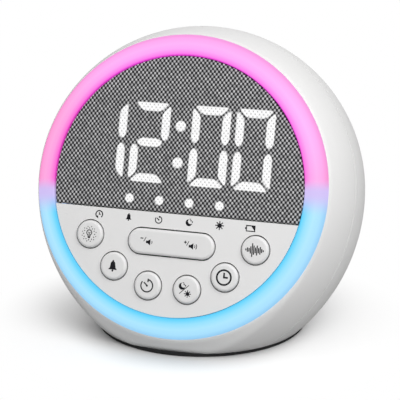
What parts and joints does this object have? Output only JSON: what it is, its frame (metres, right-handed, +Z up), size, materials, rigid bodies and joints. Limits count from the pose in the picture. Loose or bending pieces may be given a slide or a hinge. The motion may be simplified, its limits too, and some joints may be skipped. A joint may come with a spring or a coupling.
{
  "type": "sleep trainer clock",
  "caption": "Round bedside sleep trainer clock with a tilted cloth face, digit display, push buttons, volume rocker and a glowing light ring.",
  "frame": {"origin": "middle of the rubber foot's underside, on the table", "axes": "+Z up, the face looks along -Y, +X to the right of someone who looks at the face"},
  "size_m": [0.125, 0.09, 0.1155],
  "materials": {
    "shell": "satin",
    "rear_shell": "satin",
    "ring_diffuser": "satin",
    "panel": "satin",
    "button": "satin",
    "clear_plate": "clear",
    "cloth": "woven",
    "foot_rubber": "matte",
    "display_block": "matte",
    "digit_glow": "satin",
    "indicator_glow": "clear",
    "board": "satin",
    "ring_board": "satin",
    "lamp_white": "satin",
    "switch_black": "matte",
    "plunger": "matte",
    "screw_steel": "satin",
    "frame_steel": "satin",
    "magnet": "matte",
    "cone_paper": "matte",
    "gasket_foam": "matte",
    "socket_metal": "satin",
    "cell_wrap": "satin",
    "lead_black": "matte",
    "lead_red": "matte",
    "lead_grey": "matte",
    "lead_white": "matte"
  },
  "bodies": {
    "housing": {"battery_cell": "cell_wrap", "battery_leads": "lead_black", "board_screws": "screw_steel", "button_panel": "panel", "case_screws": "screw_steel", "cloth_carrier": "clear_plate", "digit_display": "display_block", "digit_segments": "digit_glow", "face_cloth": "cloth", "front_housing": "shell", "indicator_guides": "indicator_glow", "light_ring": "ring_diffuser", "main_board": "board", "power_board": "board", "power_board_screws": "screw_steel", "power_leads": "lead_red", "rear_cover": "rear_shell", "ring_leads": "lead_white", "ring_light_board": "ring_board", "ring_lights": "lamp_white", "ring_screws": "screw_steel", "rubber_foot": "foot_rubber", "socket_shell": "socket_metal", "socket_tongue": "switch_black", "speaker_cone": "cone_paper", "speaker_frame": "frame_steel", "speaker_gasket": "gasket_foam", "speaker_leads": "lead_grey", "speaker_magnet": "magnet", "speaker_screws": "screw_steel", "switch_bodies": "switch_black"},
    "light_button": {"light_button": "button", "light_plunger": "plunger"},
    "alarm_button": {"alarm_button": "button", "alarm_plunger": "plunger"},
    "timer_button": {"timer_button": "button", "timer_plunger": "plunger"},
    "sleep_wake_button": {"sleep_wake_button": "button", "sleep_wake_plunger": "plunger"},
    "clock_button": {"clock_button": "button", "clock_plunger": "plunger"},
    "sound_button": {"sound_button": "button", "sound_plunger": "plunger"},
    "volume_rocker": {"volume_rocker": "button"},
    "volume_down_plunger": {"volume_down_plunger": "plunger"},
    "volume_up_plunger": {"volume_up_plunger": "plunger"}
  },
  "joints": [
    {"name": "light_press", "type": "slide", "parent": "housing", "child": "light_button", "axis": [0, 0.9583, -0.2857], "range_m": [0, 0.0008], "stiffness_N_per_m": 1200},
    {"name": "alarm_press", "type": "slide", "parent": "housing", "child": "alarm_button", "axis": [0, 0.9583, -0.2857], "range_m": [0, 0.0008], "stiffness_N_per_m": 1200},
    {"name": "timer_press", "type": "slide", "parent": "housing", "child": "timer_button", "axis": [0, 0.9583, -0.2857], "range_m": [0, 0.0008], "stiffness_N_per_m": 1200},
    {"name": "sleep_wake_press", "type": "slide", "parent": "housing", "child": "sleep_wake_button", "axis": [0, 0.9583, -0.2857], "range_m": [0, 0.0008], "stiffness_N_per_m": 1200},
    {"name": "clock_press", "type": "slide", "parent": "housing", "child": "clock_button", "axis": [0, 0.9583, -0.2857], "range_m": [0, 0.0008], "stiffness_N_per_m": 1200},
    {"name": "sound_press", "type": "slide", "parent": "housing", "child": "sound_button", "axis": [0, 0.9583, -0.2857], "range_m": [0, 0.0008], "stiffness_N_per_m": 1200},
    {"name": "volume_tilt", "type": "hinge", "parent": "housing", "child": "volume_rocker", "pos_m": [0, -0.03078, 0.04027], "axis": [0, 0.2857, 0.9583], "range_deg": [-2.5, 2.5], "stiffness_Nm_per_rad": 0.3},
    {"name": "volume_down_press", "type": "slide", "parent": "housing", "child": "volume_down_plunger", "axis": [0, 0.9583, -0.2857], "range_m": [-0.00055, 0.00055]},
    {"name": "volume_up_press", "type": "slide", "parent": "housing", "child": "volume_up_plunger", "axis": [0, 0.9583, -0.2857], "range_m": [-0.00055, 0.00055]}
  ],
  "couplings": [
    {"joint": "volume_up_press", "follows": "volume_tilt", "m_per_rad": 0.011494},
    {"joint": "volume_down_press", "follows": "volume_tilt", "m_per_rad": -0.011494}
  ]
}
